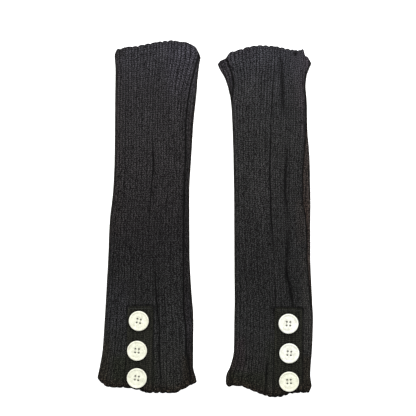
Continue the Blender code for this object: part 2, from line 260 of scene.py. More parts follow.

# Tables of a leg. Each goes from row to row on a smooth curve
#   sections: y, left side, right side
#   guide_wales: numbers of the wales that the guides follow
#   guides: y, then x of each guide wale
#   top_rim, hem: share of the width from the left side, y
#   folds: half width and depth of a crease, then y, x and darkness of each place along it. The darkness is
#       painted shade,
#   and painted light where it is below 0; it also scales the depth
#   ledges: outward side, stretch over which the strip's colour fades, then y and x of each place
#   tints: soft-edged areas that change the yarn's colour, some of them painted shade, as beside the right
#       leg's bottom
#   button: low and high x, low and high y, red, green and blue share
#   tab: top edge, middle at the top and at the hem, width, slope of the top edge, darkness of its painted
#       shadows
#   buttons: name, x, y, turn of the four holes in degrees, plastic
LEFT_LEG = {
    "seed": 11,
    "knit": LEG_KNIT,
    "tab_knit": LEFT_TAB_KNIT,
    "sections": (
        (-203.4, -132, -10.3), (-194.8, -131.1, -11.7), (-180.2, -128.2, -15.3), (-160.7, -124.9, -15.2),
        (-121.6, -122.1, -14.9), (-82.6, -119.9, -17.8), (-43.6, -117.7, -19.6), (-4.5, -116.1, -19.8),
        (34.5, -111.9, -19.7), (73.6, -110.1, -17.6), (112.6, -109.7, -15.1), (151.6, -109.4, -11.2),
        (180.9, -109, -8.6), (197.4, -110.1, -5.8),
    ),
    "guide_wales": (0, 7, 14, 21, 26),
    "guides": (
        (-203.4, -140, -104.5, -71.5, -43, -19), (-180.2, -140, -101.5, -71.5, -43, -23.4),
        (-160.7, -140, -98.8, -71.5, -43.2, -24), (-133.8, -140, -96.6, -71.2, -43.8, -23.6),
        (-113.1, -140, -95.8, -71, -44.6, -25.9), (-82.6, -140, -95.4, -70.8, -46.4, -26.6),
        (-43.6, -140, -94.4, -69.8, -46.2, -27), (-4.5, -140, -91.6, -68.4, -44.2, -26.2),
        (34.5, -140, -88.6, -65.8, -42.4, -25.2), (73.6, -140, -87, -64, -41, -24.7),
        (112.6, -140, -87, -64.4, -41.4, -24), (151.6, -140, -87, -63.4, -40.8, -20.2),
        (180.9, -140, -86.6, -61.2, -37, -12.4), (198, -140, -86.2, -59.4, -33.8, -7.6),
    ),
    "top_rim": (
        (0, 199.5), (0.013, 204.5), (0.03, 206.9), (0.075, 207.3), (0.123, 209.3), (0.19, 209.6),
        (0.4, 213.5), (0.59, 216.6), (0.677, 217.3), (0.743, 216), (0.851, 214.6), (0.934, 210),
        (0.974, 204.9), (1, 196.5),
    ),
    "hem": (
        (0, -194.3), (0.043, -200.4), (0.12, -205.1), (0.298, -206.1), (0.391, -208.1), (0.469, -210.7),
        (0.51, -212.2), (0.775, -212.3), (0.856, -208.2), (0.934, -203.4), (1, -199.6),
    ),
    "folds": (
        (0.9, 1, (104, -64.4, 0), (85, -64, 0.35), (75, -63.3, 0.6), (66, -63.1, 0.6), (56, -63.5, 0.5),
         (46, -64.4, 0.4), (27, -66.2, 0.35), (7, -67.8, 0.3), (-12, -68.6, 0.2), (-34, -69, 0)),
        (0.9, 1.3, (-44, -60.6, 0), (-60, -60.7, 0.25), (-72, -60.6, 0.45), (-82, -60.4, 0.56),
         (-92, -59.7, 0.62), (-102, -59.1, 0.58), (-111, -58.4, 0.62), (-121, -57.5, 0.5),
         (-131, -56.5, 0.48), (-141, -56.1, 0.52), (-160, -56.5, 0.52), (-170, -56.3, 0.6),
         (-180, -55.6, 0.52), (-189, -54.7, 0.5), (-199, -53.6, 0.4), (-215, -52, 0.3)),
        (0.8, 0.8, (-124, -30.4, 0), (-138, -30.3, 0.32), (-148, -30.2, 0.36), (-160, -30, 0.15),
         (-177, -29.8, 0.12), (-187, -29, 0.3), (-200, -28.6, 0)),
        (2.6, 0.5, (150, -58, 0), (120, -59.5, 0.05), (80, -61.5, 0.06), (40, -62, 0)),
    ),
    "ledges": (
        (1, (10, 135), (-200, -17.6), (-189, -18.8), (-180, -20.2), (-170, -21.6), (-160, -23.6),
         (-141, -23.5), (-131, -24.2), (-121, -25.3), (-111, -26.4), (-82, -26.6), (-33, -26.6), (16, -26.4),
         (35, -26.2), (45, -25.5), (64, -24.4), (84, -23.7), (113, -24), (123, -23.2), (133, -22.3),
         (152, -19.7), (172, -15.8), (182, -13.2), (191, -10.7), (199, -8)),
    ),
    "tints": (
        (-114, -62, -202, -168, (0.8, 0.88, 0.68)), (-136, -117, -202, -150, (0.97, 0.87, 0.73)),
        (-122, -103, -20, 200, (1.06, 1, 0.97)), (-126, -94, -132, -76, (1.12, 1.11, 1.2)),
        (-46, -12, 150, 214, (1.16, 1.15, 1.22)), (-114, -98, 198, 214, (0.74, 0.72, 0.68)),
        (-24, -6, -145, -92, (1.42, 1.44, 1.52)), (-19, -7, 86, 128, (0.84, 0.74, 0.73)),
        (-108, -30, -54, -14, (0.93, 0.93, 0.94)), (-28, -8, -206, -168, (0.88, 0.76, 0.66)),
    ),
    "tab": {"top_y": -107.0, "top_x": -79.0, "hem_x": -81.2, "width": 31.8, "tilt": 0.03,
            "top_shadow": 0.44, "left_shadow": 0.03, "right_shadow": 0.12},
    "buttons": (
        ("top", -81, -124.9, -12, "cream"),
        ("middle", -83.1, -161.2, -5, "cream"),
        ("bottom", -83.4, -194.6, -10, "cream"),
    ),
}

RIGHT_LEG = {
    "seed": 23,
    "knit": RIGHT_LEG_KNIT,
    "tab_knit": RIGHT_TAB_KNIT,
    "sections": (
        (-203.4, 24.5, 129.4), (-190, 26.4, 127.7), (-180.2, 31, 128.2), (-160.7, 35.3, 129.8),
        (-121.6, 35.9, 131.1), (-102.1, 36.3, 130.1), (-43.6, 35.9, 127.6), (15, 35.7, 127.8),
        (73.6, 34.8, 126.7), (112.6, 33.6, 123.9), (141.9, 31.9, 123.4), (161.4, 27.8, 121.9),
        (171.2, 24.5, 122.7), (180.9, 18.7, 125.5), (188.2, 15.3, 128.8),
    ),
    "guide_wales": (0, 7, 14, 21, 28),
    "guides": (
        (-203.4, 20, 58.5, 82, 107, 140), (-190, 20, 59.6, 83, 108.2, 140),
        (-160.7, 20, 62.2, 85, 110.4, 140), (-121.6, 20, 62.6, 86, 111.2, 140),
        (-102.1, 20, 62.4, 86, 110, 132), (-87.5, 20, 61.8, 85.4, 108.6, 127.2),
        (-43.6, 20, 59.8, 83.2, 103.8, 124.2), (15, 20, 57.6, 80.6, 100.2, 121.5),
        (52.8, 20, 56.6, 79.6, 99.6, 119.1), (78.4, 20, 56.2, 79.4, 99.8, 120.7),
        (112.6, 24, 56.2, 79.8, 101.2, 123.2), (141.9, 32, 57.2, 81.2, 101.8, 122.6),
        (161.4, 34.2, 58, 82.4, 102.4, 121.8), (171.2, 33.4, 58.2, 83, 103.4, 121.8),
        (180.9, 30.9, 58.4, 83.8, 104.8, 122), (194.3, 26.3, 58.5, 84.8, 107, 122.3),
    ),
    "top_rim": (
        (0, 188.4), (0.03, 192), (0.09, 194.6), (0.115, 198.4), (0.145, 202.6), (0.218, 205.3),
        (0.272, 207.1), (0.321, 209.2), (0.457, 211.2), (0.618, 210), (0.742, 207.1), (0.87, 205),
        (0.918, 206.3), (0.94, 198.6), (0.966, 197.3), (0.985, 194), (1, 190),
    ),
    "hem": (
        (0, -194.8), (0.008, -201.5), (0.035, -204.4), (0.1, -203.5), (0.17, -203.9), (0.29, -208.6),
        (0.456, -215.1), (0.54, -217.3), (0.612, -217.3), (0.675, -216.3), (0.765, -213), (0.865, -212),
        (0.97, -211.8), (1, -204.6),
    ),
    "folds": (
        (0.8, 1.2, (194, 85, 0), (182, 84.4, 0.25), (172, 83.3, 0.3), (162, 82.5, 0.35), (152, 82, 0.45),
         (142, 81.6, 0.4), (133, 81.1, 0.42), (123, 80.8, 0.3), (113, 80.4, 0.25), (103, 79.9, 0.35),
         (94, 79.6, 0.55), (84, 79.3, 0.6), (74, 78.8, 0.5), (55, 78.4, 0.55), (45, 78.6, 0.55),
         (35, 79.2, 0.5), (16, 79.6, 0.6), (-4, 80.6, 0.6), (-14, 81.3, 0.5), (-23, 82.4, 0.3),
         (-33, 83.7, 0.3), (-43, 84.8, 0.2), (-60, 85.3, 0)),
        (0.7, 0.5, (114, 73.6, 0), (106, 73.8, 0.3), (92, 74.2, 0.4), (82, 74, 0.3), (74, 73.8, 0)),
        (0.8, 0.8, (-74, 85.2, 0), (-82, 85.4, 0.22), (-92, 85.8, 0.42), (-102, 85.9, 0.48), (-112, 85.6, 0)),
        (2.4, 1.2, (202, 92.4, 0), (190, 93, 0.36), (179, 93.2, 0.4), (164, 94.1, 0.4), (150, 94.4, 0.45),
         (138, 95, 0.4), (125, 97, 0.15), (113, 99, 0)),
        (1.5, 1, (94, 100.3, 0), (84, 100.1, 0.2), (74, 99.2, 0.45), (55, 98.1, 0.5), (45, 97.6, 0.55),
         (35, 97.3, 0.55), (25, 98.1, 0.5), (16, 99.2, 0.45), (6, 100.2, 0.3), (-8, 101.2, 0.2),
         (-22, 101, 0)),
        (2.1, 1.3, (-6, 101.2, 0), (-22, 101, 0.28), (-33, 100.6, 0.45), (-43, 100, 0.45), (-53, 99.3, 0.45),
         (-60, 98.9, 0.53), (-67, 99.5, 0.6), (-75, 101.1, 0.6), (-82, 102.7, 0.53), (-89, 104, 0.56),
         (-97, 105.1, 0.56), (-104, 106.4, 0.4), (-114, 108, 0)),
        (0.5, 0.5, (66, 123.8, 0), (50, 123.4, 0.4), (28, 122.3, 0.6), (8, 123.3, 0.5), (-6, 123.6, 0)),
        (0.8, 0.5, (12, 119.5, 0), (0, 119.6, 0.3), (-14, 118.8, 0.22), (-40, 118.6, 0.2), (-54, 119, 0)),
        (0.9, 0.3, (104, 124, 0), (90, 123.7, -0.2), (71, 121.9, -0.28), (53, 120.3, -0.28),
         (28, 120.3, -0.28), (8, 121.4, -0.14), (-12, 122, -0.2), (-28, 122, 0)),
        (1, 1.2, (-164, 75.8, 0), (-175, 75.4, 0.4), (-184, 75, 0.62), (-192, 74.4, 0.62),
         (-206, 73.6, 0.45), (-218, 73, 0.3)),
        (0.7, 0.4, (-160, 78, 0), (-178, 77.6, -0.25), (-200, 76.4, -0.25), (-212, 76, 0)),
        (2.4, 0.5, (197, 110.4, 0), (199.5, 110, 0.55), (202, 109.6, 0.55), (205, 109.2, 0)),
    ),
    "ledges": (
        (-1, (-400, -300), (130, 31), (150, 33), (165, 34.5), (174.8, 32.9), (194.3, 26.3)),
        (1, (150, 196), (-120, 133), (-105, 128.8), (-82, 126.6), (-57, 124.6), (-44, 123.8), (-20, 124),
         (-10, 123.6), (2, 122.2), (14, 119.6), (28, 118.6), (53, 118.5), (71, 119.9), (89, 121.1),
         (114, 122.1), (138, 122.2), (161.4, 121.3), (171.2, 122), (180.9, 124.4), (188.2, 127.4),
         (198, 129)),
    ),
    "tints": (
        (26, 74, -208, -188, (0.8, 0.87, 0.7)), (74, 86, -206, -150, (0.9, 0.95, 0.84)),
        (118, 136, -212, -168, (1.1, 0.98, 0.8)), (117, 136, -160, -38, (1.42, 1.36, 1.3)),
        (30, 66, 140, 176, (1.22, 1.2, 1.2)), (34, 60, 196, 214, (0.88, 0.84, 0.84)),
        (106, 134, 134, 206, (1.24, 1.17, 1.2)), (120, 136, 166, 204, (1.1, 1, 1.02)),
        (12, 31, 160, 198, (1.06, 0.96, 1)), (30, 48, -184, -146, (1.06, 0.88, 0.96)),
        (20, 33, -202, -170, (1.6, 1.45, 1.25)), (98, 118, -200, -168, (0.76, 0.75, 0.69)),
        (20, 34, 140, 172, (0.76, 0.74, 0.76)), (116, 132, 98, 170, (1.24, 1.13, 1.18)),
        (112, 136, -30, 22, (1.34, 1.22, 1.16)), (70, 106, 144, 169, (1.18, 1.17, 1.19)),
        (58, 82, 4, 71, (1.12, 1.11, 1.12)), (33, 82, -69, -26, (0.93, 0.92, 0.93)),
        (34, 46, -197, -172, (0.86, 0.86, 0.84)), (70, 94, -214, -197, (1.14, 1.12, 1.1)),
    ),
    "tab": {"top_y": -108.8, "top_x": 101.2, "hem_x": 101.2, "width": 34.2, "tilt": -0.02,
            "top_shadow": 0.56, "left_shadow": 0.14, "right_shadow": 0.32},
    "buttons": (
        ("top", 101.5, -128.3, -2, "pale"),
        ("middle", 102.5, -164.3, -6, "pale"),
        ("bottom", 102.2, -198.8, 3, "cream"),
    ),
}


def smoothstep(low, high, value):
    """0 at the low end and 1 at the high one, with a soft start and stop."""
    share = np.clip((value - low) / (high - low), 0.0, 1.0)
    return share * share * (3.0 - 2.0 * share)


def fading(reach, distance):
    """1 at an edge, falling to 0 at some distance from it."""
    return 1.0 - smoothstep(0.0, reach, distance)


def cubic_slopes(place, value):
    """Slopes at the places of a table, chosen so that its curve never swings past the rows."""
    step = np.diff(place, axis=0)
    slope = np.diff(value, axis=0) / step
    tangent = np.zeros_like(value)
    tangent[0] = slope[0]
    tangent[-1] = slope[-1]
    product = slope[:-1] * slope[1:]
    total = np.where(product > 0.0, slope[:-1] + slope[1:], 1.0)
    tangent[1:-1] = np.where(product > 0.0, 2.0 * product / total, 0.0)
    return tangent


def blend_rows(share, step, start, end, start_slope, end_slope):
    """A cubic from one row to the next that has their slopes."""
    first = start * (1.0 + 2.0 * share) * (1.0 - share) ** 2
    last = end * (3.0 - 2.0 * share) * share ** 2
    bend = start_slope * (1.0 - share) - end_slope * share
    return first + last + bend * step * share * (1.0 - share)


def along(table, column, at):
    """Reads a column of a table at places between its rows, on a smooth curve."""
    rows = np.array(sorted(table), dtype=float)
    place = rows[:, 0]
    value = rows[:, column]
    at = np.clip(at, place[0], place[-1])
    tangent = cubic_slopes(place, value)
    row = np.clip(np.searchsorted(place, at, side="right") - 1, 0, len(place) - 2)
    step = place[row + 1] - place[row]
    share = (at - place[row]) / step
    return blend_rows(share, step, value[row], value[row + 1], tangent[row], tangent[row + 1])


def sides(leg, y):
    """X of the left and of the right side."""
    return along(leg["sections"], 1, y), along(leg["sections"], 2, y)


def hem_level(leg):
    """Y of the hem near its middle, where the tab ends."""
    return leg["hem"][HEM_MIDDLE][1]


def tab_length(leg):
    """Length of the tab, from the hem to its top edge."""
    return leg["tab"]["top_y"] - hem_level(leg)


def round_tube(wales):
    """Place across the wales laid out on a circle, so that an unevenness meets itself round the tube."""
    turn = 2.0 * math.pi * wales / WALES
    return WAVE_CIRCLE * np.sin(turn), WAVE_CIRCLE * np.cos(turn)


def soft_noise(x, y, seed, wave):
    """A smooth, repeatable unevenness of a size and a length, made of a few crossing waves."""
    size, scale = wave
    chance = np.random.default_rng(seed)
    total = np.zeros(np.broadcast(x, y).shape)
    for _ in range(WAVES):
        heading = chance.uniform(0.0, math.pi)
        length = scale * chance.uniform(0.6, 1.7)
        phase = chance.uniform(0.0, 2.0 * math.pi)
        run = x * math.cos(heading) + y * math.sin(heading)
        total = total + np.sin(2.0 * math.pi * run / length + phase)
    return size * (total / (0.5 * WAVES))


def contact(outside):
    """Share of the painted shade, or of the pressed-in depth, beside the edge of a thing laid on the knit."""
    return np.exp(-((outside - CONTACT_LINE) / CONTACT_REACH) ** 2)


def fold_share(fold, x, y):
    """Share of painted shade from one crease at places on the front, which also scales its depth."""
    half_width, _, *line = fold
    past = (x - along(line, 1, y)) / (half_width + FOLD_BLUR)
    return along(line, 2, y) * np.exp(-past ** 2)


def ledge_share(leg, x, y, tinted=False):
    """1 on the strip past a side ledge and 0 on the front. Tinted counts only the stretch where the strip
    takes its colour.
    """
    total = np.zeros(np.broadcast(x, y).shape)
    for outward, fade, *line in leg["ledges"]:
        past_line = (x - along(line, 1, y)) * outward
        share = smoothstep(-LEDGE_WIDTH / 2.0, LEDGE_WIDTH / 2.0, past_line)
        if tinted:
            share = share * smoothstep(fade[1], fade[0], y)
        total = np.maximum(total, share)
    return total


def ledge_crease(leg, x, y):
    """Painted shade along each ledge, where the front turns down to the strip beside it."""
    total = np.zeros(np.broadcast(x, y).shape)
    for _, _, *line in leg["ledges"]:
        total = np.maximum(total, np.exp(-((x - along(line, 1, y)) / LEDGE_CREASE) ** 2))
    return total


def tint_and_painted_shade(areas, x, y):
    """Red, green and blue share of the yarn's colour at places, from some soft-edged areas, part of them
    painted shade.
    """
    total = np.ones((*np.broadcast(x, y).shape, 3))
    for low_x, high_x, low_y, high_y, colour in areas:
        inward = np.minimum(np.minimum(x - low_x, high_x - x), np.minimum(y - low_y, high_y - y))
        share = smoothstep(-TINT_FADE, TINT_FADE, inward)[..., None]
        total = total * (1.0 + share * (np.array(colour) - 1.0))
    return total


def front_height(leg, x, y):
    """Height of the front layer between its ribs, above the surface that the leg lies on."""
    left, right = sides(leg, y)
    from_side = np.minimum(x - left, right - x)
    height = LAID_HEIGHT - SIDE_DROP * fading(SIDE_SLOPE, from_side)
    for fold in leg["folds"]:
        height = height - fold[1] * fold_share(fold, x, y)
    height = height - LEDGE_DROP * ledge_share(leg, x, y)
    return np.maximum(height, 2.0 * WALL + GAP)


def side_share(distance, radius):
    """Share of full height at a distance in from a rounded side."""
    inward = np.clip(distance, 0.0, radius)
    return np.sqrt(np.maximum(radius ** 2 - (radius - inward) ** 2, 0.0)) / radius


def wale_arcs(leg, wales, y):
    """Distance round the flattened tube from its left side, for places across the wales and along the leg."""
    left, right = sides(leg, y)
    front = right - left - 2.0 * SIDE_RADIUS + 2.0 * QUARTER_TURN
    numbers = [float(number) for number in leg["guide_wales"]]
    guides = [along(leg["guides"], column, y) for column in range(1, len(numbers) + 1)]
    arcs = [np.clip(guide - left - SIDE_RADIUS + QUARTER_TURN, 0.0, front) for guide in guides]
    # The guides go on round the tube, so that the curve between them meets itself
    numbers = np.array([*np.subtract(numbers[-2:], WALES), *numbers, *np.add(numbers[:2], WALES)])
    before = [arc - 2.0 * front for arc in arcs[-2:]]
    value = np.array([*before, *arcs, *[arc + 2.0 * front for arc in arcs[:2]]])
    place = numbers.reshape(-1, *([1] * y.ndim)) * np.ones((1, *y.shape))
    tangent = cubic_slopes(place, value)
    result = np.zeros(y.shape)
    for span, (low, high) in enumerate(zip(numbers, numbers[1:])):
        share = (wales - low) / (high - low)
        arc = blend_rows(share, high - low, value[span], value[span + 1], tangent[span], tangent[span + 1])
        result = np.where((wales >= low) & (wales <= high), arc, result)
    return result, front


def section_place(leg, wales, y, sway=0.0):
    """X, fullness, sideways lean and layer of places round the tube. Fullness is 0 at a side, 1 on a layer."""
    left, right = sides(leg, y)
    arc, front = wale_arcs(leg, wales, y)
    arc = np.mod(arc + sway, 2.0 * front)
    underneath = arc > front
    reach = np.where(underneath, 2.0 * front - arc, arc)
    from_left = np.clip(reach / SIDE_RADIUS, 0.0, math.pi / 2.0)
    from_right = np.clip((front - reach) / SIDE_RADIUS, 0.0, math.pi / 2.0)
    x = left + SIDE_RADIUS + (reach - QUARTER_TURN)
    x = np.where(reach < QUARTER_TURN, left + SIDE_RADIUS * (1.0 - np.cos(from_left)), x)
    x = np.where(front - reach < QUARTER_TURN, right - SIDE_RADIUS * (1.0 - np.cos(from_right)), x)
    fullness = np.sin(from_left) * np.sin(from_right)
    sideways = np.cos(from_right) - np.cos(from_left)
    return x, fullness, sideways, underneath


def groove_depth(leg, wales, underneath, y):
    """Depth of the grooves between wales, which is more between pairs of wales than inside a pair."""
    nearest = np.round(wales)
    pair = np.mod(nearest, 2.0) < 0.5
    depth = np.where(pair, PAIR_GROOVE, SINGLE_GROOVE)
    groove = np.mod(nearest, WALES) * GROOVE_WAVE_STEP
    depth = depth * (1.0 + soft_noise(groove, y, leg["seed"] + 1, GROOVE_WAVE))
    return np.where(underneath, BACK_GROOVE, depth)


def wale_section(wales):
    """Shares of the crest of a wale, and of the valley along its middle between the two legs of a stitch."""
    on_wale = np.mod(wales, 1.0)
    crest = 1.0 - np.abs(2.0 * on_wale - 1.0) ** GROOVE_SHARPNESS
    return crest, np.exp(-((on_wale - 0.5) / VALLEY_WIDTH) ** 2)


def knit_relief(leg, wales, stitch_gap, underneath, y):
    """Depth below the crests of the knit, from its grooves and from the gaps between stitches."""
    crest, valley = wale_section(wales)
    depth = groove_depth(leg, wales, underneath, y) * (1.0 - crest)
    stitches = (STITCH_GAP * stitch_gap + STITCH_VALLEY * valley) * crest
    return depth + np.where(underneath, UNDER_STITCHES * stitches, stitches)


def tab_shadow(leg, x, y):
    """Painted shadow round the tab, deepest along its top edge and fading down its sides."""
    tab = leg["tab"]
    middle_x = tab["hem_x"] + (tab["top_x"] - tab["hem_x"]) * (y - hem_level(leg)) / tab_length(leg)
    beside = np.abs(x - middle_x) - tab["width"] / 2.0
    above = y - tab["top_y"] - (x - middle_x) * tab["tilt"]
    outside = np.where((beside > 0.0) & (above > 0.0), np.hypot(beside, above), np.maximum(beside, above))
    depth = np.where(x > middle_x, tab["right_shadow"], tab["left_shadow"])
    depth = tab["top_shadow"] + (depth - tab["top_shadow"]) * smoothstep(-3.0, -12.0, above)
    return depth * contact(outside)


def leg_columns():
    """Places across the wales, all round the tube, closer together on the wales that show."""
    first, last = SHOWN_WALES
    shown = [wale + place for wale in range(first, last) for place in SHOWN_COLUMNS]
    under = [wale + place for wale in range(last, first + WALES) for place in UNDER_COLUMNS]
    return np.array([*shown, *under, first + WALES], dtype=float)


def leg_rows():
    """Rows from inside the hem, along the outer face, to inside the top rim.

    Each has its share of the length, distance in from the edge, share of the wall's thickness and stitch gap.
    """
    hem = [(0.0, distance, depth, 0.0) for distance, depth in reversed(EDGE_TURN)]
    body = [(half / (2.0 * COURSES), 0.0, 0.0, float(half % 2)) for half in range(2, 2 * COURSES - 1)]
    rim = [(1.0, distance, depth, 0.0) for distance, depth in EDGE_TURN]
    return np.array([*hem, *body, *rim])


def leg_points(leg, wales, rows):
    """Points of a leg for every column and row, and the marks that its material reads there."""
    wales = wales[:, None] * np.ones((1, len(rows)))
    end, distance, depth, stitch_gap = (rows[:, column][None, :] for column in range(4))

    def edge_y(table, level):
        x, _, _, underneath = section_place(leg, wales[:, :1], np.full((len(wales), 1), level))
        left, right = sides(leg, level)
        share = (x - left) / (right - left)
        setback = np.where(underneath, BACK_SETBACK * np.sin(math.pi * np.clip(share, 0.0, 1.0)), 0.0)
        return along(leg[table], 1, share), setback

    hem_y, hem_setback = edge_y("hem", hem_level(leg))
    top_y, top_setback = edge_y("top_rim", leg["top_rim"][0][1])
    on_wale = np.mod(wales[:, :1] / 2.0, 1.0)
    scallop = SCALLOP * (1.0 - np.sin(math.pi * on_wale) ** SCALLOP_BLUNTNESS)
    scallop = scallop * (1.0 + soft_noise(*round_tube(wales[:, :1]), leg["seed"] + 5, SCALLOP_WAVE))
    hem_y = hem_y + hem_setback + scallop - HEM_PUFF
    top_y = top_y - top_setback - scallop + EDGE_PUFF
    inward = np.where(end < 0.5, distance, -distance)
    y = hem_y + (top_y - hem_y) * end + inward
    course = (top_y - hem_y) / COURSES
    from_edge = np.minimum(y - hem_y, top_y - y)
    on_wale = np.abs(np.mod(wales, 1.0) - 0.5)
    lean = CHEVRON * course * 2.0 * (on_wale - 0.25) * smoothstep(1.0, EDGE_FADE, from_edge)
    y = y + lean
    around, aside = round_tube(wales)
    sway = soft_noise(around, aside + y, leg["seed"] + 2, SWAY)
    x, fullness, sideways, underneath = section_place(leg, wales, y, sway)
    left, right = sides(leg, y)
    between_ribs = front_height(leg, x, y)
    wide, narrow = SURFACE_WAVES
    waves = soft_noise(x, y * 0.5, leg["seed"] + 3, wide) + soft_noise(x, y, leg["seed"] + 4, narrow)
    crown = between_ribs + RIB_RISE + waves * fullness - CROWN_DROP
    relief = knit_relief(leg, wales, stitch_gap, underneath, y) * (1.0 - WALL_RELIEF_LOSS * depth)
    reach = np.where(underneath, -SIDE_RADIUS, crown - SIDE_RADIUS)
    outer_z = SIDE_RADIUS + reach * fullness + np.where(underneath, relief, -relief) * fullness
    outer_x = x + (SIDE_PUFF - relief) * sideways
    share = (x - left) / (right - left)
    inner_x = left + WALL + (right - left - 2.0 * WALL) * share
    inner_radius = SIDE_RADIUS - WALL
    inner_fullness = side_share(np.minimum(inner_x - left, right - inner_x) - WALL, inner_radius)
    inner_top = SIDE_RADIUS + (between_ribs - WALL - SIDE_RADIUS) * inner_fullness
    inner_z = np.where(underneath, SIDE_RADIUS - inner_radius * inner_fullness, inner_top)
    x = outer_x + (inner_x - outer_x) * depth
    z = outer_z + (inner_z - outer_z) * depth
    points = np.stack([x, y, z], axis=-1) * MM
    # Painted shade at the turned sides, more of it near the hem
    low = 1.0 - smoothstep(*LOW_SIDE, y - hem_y)
    side = np.exp(-(np.minimum(x - left, right - x) / SIDE_SHADE) ** 2) * (SIDE_MARK + LOW_SIDE_GAIN * low)
    # Painted shade of the folds, and painted shadow round the tab on the outer face
    folds = sum(fold_share(fold, x, y) for fold in leg["folds"])
    folds = np.maximum(folds, tab_shadow(leg, x, y) * (1.0 - depth))
    # Marks that the material reads. Painted shade: in folds and round the tab, along ledge creases, at the
    # sides, along the open edges and the hem's edge. The strip, the hem and the tints set the yarn's colour,
    # and the tints hold painted shade too
    marks = {
        "painted_shade_and_light": np.clip(folds, LIGHTEST_FOLD, 1.0),
        "crease": ledge_crease(leg, x, y),
        "strip": ledge_share(leg, x, y, tinted=True),
        "side": side,
        "edge": fading(EDGE_LINE, from_edge),
        "hem": fading(HEM_SHADE, y - hem_y),
        "painted_hem_shade": fading(HEM_LINE, y - hem_y),
        "tint": tint_and_painted_shade(leg["tints"], x, y),
    }
    return points, marks


def saved(name, mesh):
    """The data of a mesh that is being made, which is then done with."""
    data = bpy.data.meshes.new(name)
    mesh.to_mesh(data)
    mesh.free()
    return data


def placed(name, data, place=(0.0, 0.0, 0.0)):
    """An object in the scene, at a place in metres."""
    thing = bpy.data.objects.new(name, data)
    thing.location = place
    bpy.context.scene.collection.objects.link(thing)
    return thing


def cloth_grid(name, points, marks, wales, courses):
    """A grid of points made into cloth. Its UV map has its places in the knit, its attributes the marks."""
    across = len(wales) - 1
    up = len(courses) - 1
    mesh = bmesh.new()
    mesh.loops.layers.uv.new("Knit")
    bmesh.ops.create_grid(mesh, x_segments=across, y_segments=up, size=0.5, calc_uvs=True)
    data = saved(name, mesh)
    flat = np.zeros(len(data.vertices) * 3)
    data.vertices.foreach_get("co", flat)
    flat = flat.reshape(-1, 3) + 0.5
    column = np.round(flat[:, 0] * across).astype(int)
    row = np.round(flat[:, 1] * up).astype(int)
    data.vertices.foreach_set("co", points[column, row].ravel())
    for mark, value in marks.items():
        kind, field = ("FLOAT", "value") if value.ndim == 2 else ("FLOAT_VECTOR", "vector")
        layer = data.attributes.new(mark, kind, "POINT")
        layer.data.foreach_set(field, np.ascontiguousarray(value[column, row]).ravel())
    corner = np.zeros(len(data.loops), dtype=np.int32)
    data.loops.foreach_get("vertex_index", corner)
    places = np.stack([wales[column[corner]], courses[row[corner]]], axis=-1)
    data.uv_layers["Knit"].data.foreach_set("uv", places.ravel())
    return data


def back_to_back(first, second):
    """Two grids of cloth in one mesh, the second with its faces turned round."""
    mesh = bmesh.new()
    mesh.from_mesh(first)
    skin = len(mesh.faces)
    mesh.from_mesh(second)
    mesh.faces.ensure_lookup_table()
    bmesh.ops.reverse_faces(mesh, faces=mesh.faces[skin:])
    return mesh


def finished(name, mesh, material, sharp=None):
    """Makes a piece of a mesh, with its faces pointing out, riding on the part."""
    bmesh.ops.recalc_face_normals(mesh, faces=mesh.faces)
    data = saved(name, mesh)
    data.materials.append(material)
    data.shade_smooth()
    if sharp:
        data.set_sharp_from_angle(angle=math.radians(sharp))
    thing = placed(name, data)
    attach(thing, "root")
    return thing


def knitted_leg(name, leg, material):
    """One leg warmer: a flattened tube of cloth that turns over both open edges, and its plain inner face."""
    wales = leg_columns()
    rows = leg_rows()
    points, marks = leg_points(leg, wales, rows)
    outer = cloth_grid(f"{name}_outer", points, marks, wales, rows[:, 0] * COURSES)
    plain = np.linspace(SHOWN_WALES[0], SHOWN_WALES[0] + WALES, LINING_COLUMNS + 1)
    places = np.linspace(LINING_START, 1.0 - LINING_START, LINING_ROWS)
    inside = np.stack([places, 0.0 * places, 1.0 + 0.0 * places, 0.0 * places], axis=-1)
    lining_points, lining_marks = leg_points(leg, plain, inside)
    lining = cloth_grid(f"{name}_lining", lining_points, lining_marks, plain, places * COURSES)
    mesh = back_to_back(outer, lining)
    bmesh.ops.remove_doubles(mesh, verts=mesh.verts, dist=MERGE * MM)
    for at_hem in (True, False):
        ends = [edge for edge in mesh.edges if edge.is_boundary and (edge.verts[0].co.y < 0.0) == at_hem]
        bmesh.ops.bridge_loops(mesh, edges=ends)
    return finished(f"{name}_leg_knit", mesh, material)


def tab_underside(leg, x, y):
    """Height of the tab's lower face, just clear of the ribs that it lies on."""
    return front_height(leg, x, y) + RIB_RISE + GAP


def tab_place(leg, across, up):
    """Places of the tab in plan. Its top corners are rounded and its lower edge follows the hem."""
    tab = leg["tab"]
    hem_x = tab["hem_x"] + (across - 0.5) * tab["width"]
    top_x = tab["top_x"] + (across - 0.5) * tab["width"]
    left, right = leg["sections"][0][1:]
    hem_y = along(leg["hem"], 1, (hem_x - left) / (right - left)) + TAB_HEM_INSET
    from_corner = np.minimum(across, 1.0 - across) * tab["width"]
    rounding = TAB_CORNER * (1.0 - side_share(from_corner, TAB_CORNER))
    top_y = tab["top_y"] + (across - 0.5) * tab["width"] * tab["tilt"] - rounding
    return hem_x + (top_x - hem_x) * up, hem_y + (top_y - hem_y) * up


